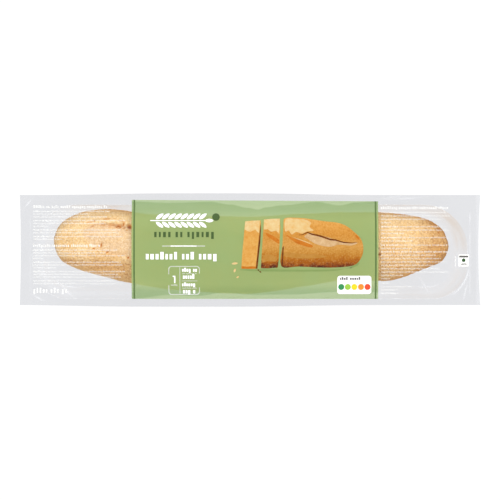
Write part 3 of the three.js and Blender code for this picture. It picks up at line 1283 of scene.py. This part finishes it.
def object_noise(material, scale, detail=4.0, roughness=0.55, stretch=(1.0, 1.0, 1.0)):
    """Noise on the piece's own coordinates, in features for each metre."""
    place = add_node(material, "ShaderNodeTexCoord")
    mapping = add_node(material, "ShaderNodeMapping", values={"Scale": stretch})
    amounts = {"Scale": scale, "Detail": detail, "Roughness": roughness}
    cloud = add_node(material, "ShaderNodeTexNoise", values=amounts)
    link(material, (place, "Object"), mapping, "Vector")
    link(material, (mapping, "Vector"), cloud, "Vector")
    return cloud, "Fac"


def object_place(material, axis):
    """Place along one axis of the piece's own coordinates."""
    place = add_node(material, "ShaderNodeTexCoord")
    parts = add_node(material, "ShaderNodeSeparateXYZ")
    link(material, (place, "Object"), parts, "Vector")
    return parts, axis


def painted(material, layer):
    """Value that is stored on the piece's points."""
    return add_node(material, "ShaderNodeAttribute", {"attribute_name": layer}), "Fac"


def ranged(material, source, low, high, to_low=0.0, to_high=1.0):
    """Spreads a value between two limits."""
    limits = {"From Min": low, "From Max": high, "To Min": to_low, "To Max": to_high}
    node = add_node(material, "ShaderNodeMapRange", values=limits)
    link(material, source, node, "Value")
    return node, "Result"


def worked_out(material, operation, *terms, clamp=False):
    """Result of a sum whose terms are plain numbers or values."""
    node = add_node(material, "ShaderNodeMath", {"operation": operation, "use_clamp": clamp})
    for socket, term in enumerate(terms):
        if isinstance(term, tuple):
            link(material, term, node, socket)
        else:
            node.inputs[socket].default_value = term
    return node, "Value"


def mixed(material, share, first, second):
    """Mixes two colours, each a value or a plain colour."""
    node = add_node(material, "ShaderNodeMix", {"data_type": "RGBA"})
    link(material, share, node, 0)
    for socket, tone in ((MIX_FIRST, first), (MIX_SECOND, second)):
        if isinstance(tone[0], bpy.types.Node):
            link(material, tone, node, socket)
        else:
            node.inputs[socket].default_value = opaque(tone)
    return node, MIX_RESULT


def layered(material, share, below, above):
    """Lays a share of one shader over another."""
    node = add_node(material, "ShaderNodeMixShader")
    for socket, source in enumerate((share, below, above)):
        link(material, source, node, socket)
    return node, "Shader"


def clear_film(name, shine, roughness):
    """Clear film that mirrors more at a slant, with a faint milkiness and white painted highlights, and its
    see-through shader.
    """
    material = new_material(name)
    through = add_node(material, "ShaderNodeBsdfTransparent")
    gloss = add_node(material, "ShaderNodeBsdfGlossy", values={"Color": WHITE, "Roughness": roughness})
    white_diffuse = add_node(material, "ShaderNodeBsdfDiffuse", values={"Color": opaque(srgb(236, 237, 240))})
    slant = add_node(material, "ShaderNodeLayerWeight", values={"Blend": 0.5})
    steep = worked_out(material, "POWER", (slant, "Facing"), 5.2)
    mirrored = ranged(material, steep, 0.0, 1.0, 0.036, shine)
    dust = ranged(material, object_noise(material, 34.0, 2.0), 0.3, 0.7, 0.02, 0.035)
    # Painted highlights from the points add to the faint milkiness
    haze_and_highlights = worked_out(material, "ADD", dust, painted(material, "veiled"))
    clouded = layered(material, haze_and_highlights, (through, "BSDF"), (white_diffuse, "BSDF"))
    return show(material, layered(material, mirrored, clouded, (gloss, "BSDF"))), through


def lid_clear():
    """Thin clear film of the lid."""
    material, through = clear_film("clear_lid_film", 0.9, 0.06)
    through.inputs["Color"].default_value = opaque(colours().lid_film)
    return material


def pocket_clear():
    """Thicker clear film of the pocket, paler at the underside and tinted with a painted reflection of the
    loaf near its rim.
    """
    tones = colours()
    material, through = clear_film("clear_pocket_film", 0.25, 0.13)
    drawn = ranged(material, object_place(material, "Z"), 0.005, 0.044)
    plain = mixed(material, drawn, tones.drawn_film, tones.pocket_film)
    # Painted reflection of the loaf tints the see-through colour
    link(material, mixed(material, painted(material, "warmed"), plain, tones.loaf_reflection_tint), through, "Color")
    return material


def crust():
    """Part-baked crust: pale gold patches, brown flanks mixed with painted shade, floury specks, ripped
    crumb, and orange-brown pores darkened with painted shade.
    """
    tones = colours()
    material = new_material("crust")
    grain = object_noise(material, 540.0, 3.0, 0.55)
    strands = object_noise(material, 190.0, 4.0, 0.6, (0.6, 1.6, 1.6))
    browned = painted(material, "browned")
    torn = painted(material, "torn")

    patches = ranged(material, object_noise(material, 42.0, 5.0, 0.6), 0.38, 0.64)
    base = mixed(material, patches, tones.crust_pale, tones.crust_golden)
    strand_share = ranged(material, strands, 0.4, 0.66, 0.0, 0.5)
    crumb = mixed(material, strand_share, tones.crumb, tones.crust_golden)
    scored = mixed(material, painted(material, "opened"), base, crumb)
    specks = ranged(material, object_noise(material, 760.0, 2.0, 0.5), 0.52, 0.66, 0.0, 0.65)
    floured = mixed(material, specks, scored, tones.flour)
    brown = mixed(material, browned, floured, tones.crust_brown_and_shade)
    grain_share = ranged(material, grain, 0.46, 0.64, 0.0, 0.62)
    roughened = worked_out(material, "MULTIPLY_ADD", browned, 1.5, 0.6)
    coarse_share = worked_out(material, "MULTIPLY", grain_share, roughened, clamp=True)
    grained = mixed(material, coarse_share, brown, tones.grain)
    # Thin crust colour and painted shade in pores and cracks, deepest painted shade at their bottom
    pores_and_shade = mixed(material, ranged(material, torn, 0.1, 0.8), grained, tones.pore_and_shade)
    surface = mixed(material, ranged(material, torn, 0.82, 1.0), pores_and_shade, tones.pore_shade)

    wrinkles = add_node(material, "ShaderNodeBump", values={"Strength": 0.6, "Distance": 0.6 * MM})
    roughness = add_node(material, "ShaderNodeBump", values={"Strength": 0.6, "Distance": 0.4 * MM})
    finish = {"Roughness": 0.72, "Specular IOR Level": 0.3}
    shader = add_node(material, "ShaderNodeBsdfPrincipled", values=finish)
    link(material, strands, wrinkles, "Height")
    link(material, grain, roughness, "Height")
    link(material, (wrinkles, "Normal"), roughness, "Normal")
    link(material, surface, shader, "Base Color")
    link(material, (roughness, "Normal"), shader, "Normal")
    return show(material, (shader, "BSDF"))


def ink_shader(material, surface, alpha=1.0):
    """Finishes an ink material: smooth ink under glossy film, of one see-through share."""
    finish = {"Roughness": 0.14, "Specular IOR Level": 0.4, "Alpha": alpha}
    shader = add_node(material, "ShaderNodeBsdfPrincipled", values=finish)
    link(material, surface, shader, "Base Color")
    return show(material, (shader, "BSDF"))


def flat_ink(name, tone, alpha=1.0):
    """Slightly uneven ink of one colour, which lets what is below show through where it is thin."""
    material = new_material(name)
    uneven = ranged(material, object_noise(material, 260.0, 3.0), 0.35, 0.65)
    darker = tuple(channel * 0.94 for channel in tone)
    return ink_shader(material, mixed(material, uneven, tone, darker), alpha)


def picture_ink(name, light, dark):
    """Ink of the printed bread, mottled between two tones."""
    material = new_material(name)
    mottle = ranged(material, object_noise(material, 210.0, 5.0, 0.8), 0.35, 0.65)
    return ink_shader(material, mixed(material, mottle, print_tone(*light), print_tone(*dark)))


def baked_ink(name):
    """Ink of the printed crust: golden on top, paler below the middle and brown along its foot."""
    material = new_material(name)
    cloud = object_noise(material, 150.0, 5.0, 0.72)
    drift = worked_out(material, "MULTIPLY_ADD", cloud, 0.019, -0.0095)
    drifted = worked_out(material, "ADD", object_place(material, "Y"), drift)
    ramp = add_node(material, "ShaderNodeValToRGB")
    link(material, ranged(material, drifted, -0.018, 0.031), ramp, "Fac")
    stops = ramp.color_ramp.elements
    while len(stops) < len(BAKED_TONES):
        stops.new(0.5)
    for stop, (position, tone) in zip(stops, BAKED_TONES):
        stop.position = position
        stop.color = opaque(print_tone(*tone))
    grain = object_noise(material, 620.0, 2.0, 0.6)
    light_share = ranged(material, grain, 0.5, 0.72, 0.0, 0.32)
    dark_share = ranged(material, grain, 0.5, 0.3, 0.0, 0.3)
    lightened = mixed(material, light_share, (ramp, "Color"), print_tone(246, 200, 128))
    return ink_shader(material, mixed(material, dark_share, lightened, print_tone(184, 108, 40)))


def band_ink():
    """Translucent green ink, faintly cloudy, with painted shade on the lid's slopes and a paler painted sheen
    near the rim.
    """
    material = new_material("band_ink")
    tone = tuple(colours().band_ink)
    fresher = tuple(channel * factor for channel, factor in zip(tone, (0.96, 1.01, 1.06)))
    # Darker tone of painted shade for the slopes, and paler tone of painted sheen near the rim
    slope_shade_tone = tuple(channel * factor for channel, factor in zip(tone, (0.73, 0.85, 0.82)))
    paler = tuple(channel + change for channel, change in zip(tone, (0.030, 0.040, 0.062)))
    cloud = ranged(material, object_noise(material, 30.0, 3.0), 0.35, 0.65)
    clouded = mixed(material, cloud, tone, fresher)
    slope_shaded = mixed(material, painted(material, "drawn"), clouded, slope_shade_tone)
    return ink_shader(material, mixed(material, painted(material, "bonded"), slope_shaded, paler), 0.84)


def floor_paper():
    """Plain white paper of the stage."""
    material = new_material("floor_paper")
    cloud = ranged(material, object_noise(material, 3.0, 2.0), 0.3, 0.7)
    tone = mixed(material, cloud, (0.08, 0.08, 0.08), (0.07, 0.07, 0.07))
    finish = {"Roughness": 0.9, "Specular IOR Level": 0.0}
    finish |= {"Emission Color": WHITE, "Emission Strength": 0.94}
    shader = add_node(material, "ShaderNodeBsdfPrincipled", values=finish)
    link(material, tone, shader, "Base Color")
    return show(material, (shader, "BSDF"))


# Operators, one for each group of pieces


class BAKERY_OT_film(Operator):
    """Build the formed pocket film and the lid film"""

    bl_idname = "bakery.film"
    bl_label = "Build Film"

    def execute(self, context):
        for piece in (build_pocket_film(), build_lid_film()):
            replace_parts(piece, PACK_NODE)
        return {"FINISHED"}


class BAKERY_OT_loaf(Operator):
    """Build the baguette inside the pack"""

    bl_idname = "bakery.loaf"
    bl_label = "Build Loaf"

    def execute(self, context):
        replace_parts(build_loaf(), PACK_NODE)
        return {"FINISHED"}


class BAKERY_OT_band(Operator):
    """Build the green band and its edge lines"""

    bl_idname = "bakery.band"
    bl_label = "Build Band"

    def execute(self, context):
        build_band()
        build_band_lines()
        return {"FINISHED"}


class BAKERY_OT_print(Operator):
    """Build the small print, the front print, the printed bread and the plates"""

    bl_idname = "bakery.print"
    bl_label = "Build Print"

    def execute(self, context):
        build_small_print()
        build_front_print()
        build_dark_print()
        build_picture()
        build_plates()
        return {"FINISHED"}


class BAKERY_OT_stage(Operator):
    """Build the floor, the lights, the room and the camera"""

    bl_idname = "bakery.stage"
    bl_label = "Build Stage"

    def execute(self, context):
        build_floor()
        build_lights()
        build_room()
        build_camera()
        return {"FINISHED"}


def build_floor():
    """A wide sheet of white paper under the pack."""
    bm = bmesh.new()
    bmesh.ops.create_grid(bm, x_segments=1, y_segments=1, size=3.0)
    mesh = bpy.data.meshes.new("floor")
    bm.to_mesh(mesh)
    bm.free()
    mesh.materials.append(floor_paper())
    floor = bpy.data.objects.new("floor", mesh)
    bpy.context.scene.collection.objects.link(floor)


def build_lights():
    """A strong softbox behind the pack, a weaker one before it and one at each side."""
    middle = Vector((0, 0, 0))
    for name, place, size_x, size_y, power in SOFTBOXES:
        light = bpy.data.lights.new(name, "AREA")
        light.shape = "RECTANGLE"
        light.size = size_x
        light.size_y = size_y
        light.energy = getattr(stage_look(), power)
        softbox = bpy.data.objects.new(name, light)
        softbox.location = place
        softbox.rotation_euler = (middle - Vector(place)).to_track_quat("-Z", "Y").to_euler()
        bpy.context.scene.collection.objects.link(softbox)


def build_room():
    """Even pale surroundings."""
    world = bpy.data.worlds.new("pale_room")
    world.use_nodes = True
    background = world.node_tree.nodes["Background"]
    background.inputs["Color"].default_value = WHITE
    background.inputs["Strength"].default_value = stage_look().sky
    bpy.context.scene.world = world


def build_camera():
    """A long lens straight over the pack, with the photo's framing."""
    look = stage_look()
    camera = bpy.data.cameras.new("camera")
    camera.sensor_width = 36.0
    camera.lens = camera.sensor_width * look.camera_height / look.view_width
    camera.clip_end = 20.0
    holder = bpy.data.objects.new("camera", camera)
    lid_top = pack_sizes().rim_height + 4 * MM
    holder.location = (0, 0, lid_top + look.camera_height)
    bpy.context.scene.collection.objects.link(holder)
    bpy.context.scene.camera = holder
    bpy.context.scene.view_settings.view_transform = "Standard"


class BAKERY_PT_panel(Panel):
    """Lists the build steps in the sidebar"""

    bl_label = "Baguette Pack"
    bl_idname = "BAKERY_PT_panel"
    bl_space_type = "VIEW_3D"
    bl_region_type = "UI"
    bl_category = "Bakery"

    def draw(self, context):
        for group in (pack_sizes(), loaf_sizes(), colours(), stage_look()):
            box = self.layout.box()
            for name in group.__annotations__:
                box.prop(group, name)
        for step in STEPS:
            self.layout.operator(step.bl_idname)


STEPS = (BAKERY_OT_stage, BAKERY_OT_film, BAKERY_OT_loaf, BAKERY_OT_band, BAKERY_OT_print)
CLASSES = (PackSizes, LoafSizes, BakeryColours, StageLook, *STEPS, BAKERY_PT_panel)


def register():
    for cls in CLASSES:
        bpy.utils.register_class(cls)
    bpy.types.Scene.pack_sizes = PointerProperty(type=PackSizes)
    bpy.types.Scene.loaf_sizes = PointerProperty(type=LoafSizes)
    bpy.types.Scene.bakery_colours = PointerProperty(type=BakeryColours)
    bpy.types.Scene.stage_look = PointerProperty(type=StageLook)


def unregister():
    del bpy.types.Scene.stage_look
    del bpy.types.Scene.bakery_colours
    del bpy.types.Scene.loaf_sizes
    del bpy.types.Scene.pack_sizes
    for cls in reversed(CLASSES):
        bpy.utils.unregister_class(cls)


def main():
    register()
    bpy.ops.bakery.stage()
    bpy.ops.bakery.film()
    bpy.ops.bakery.loaf()
    bpy.ops.bakery.band()
    bpy.ops.bakery.print()


if __name__ == "__main__":
    main()
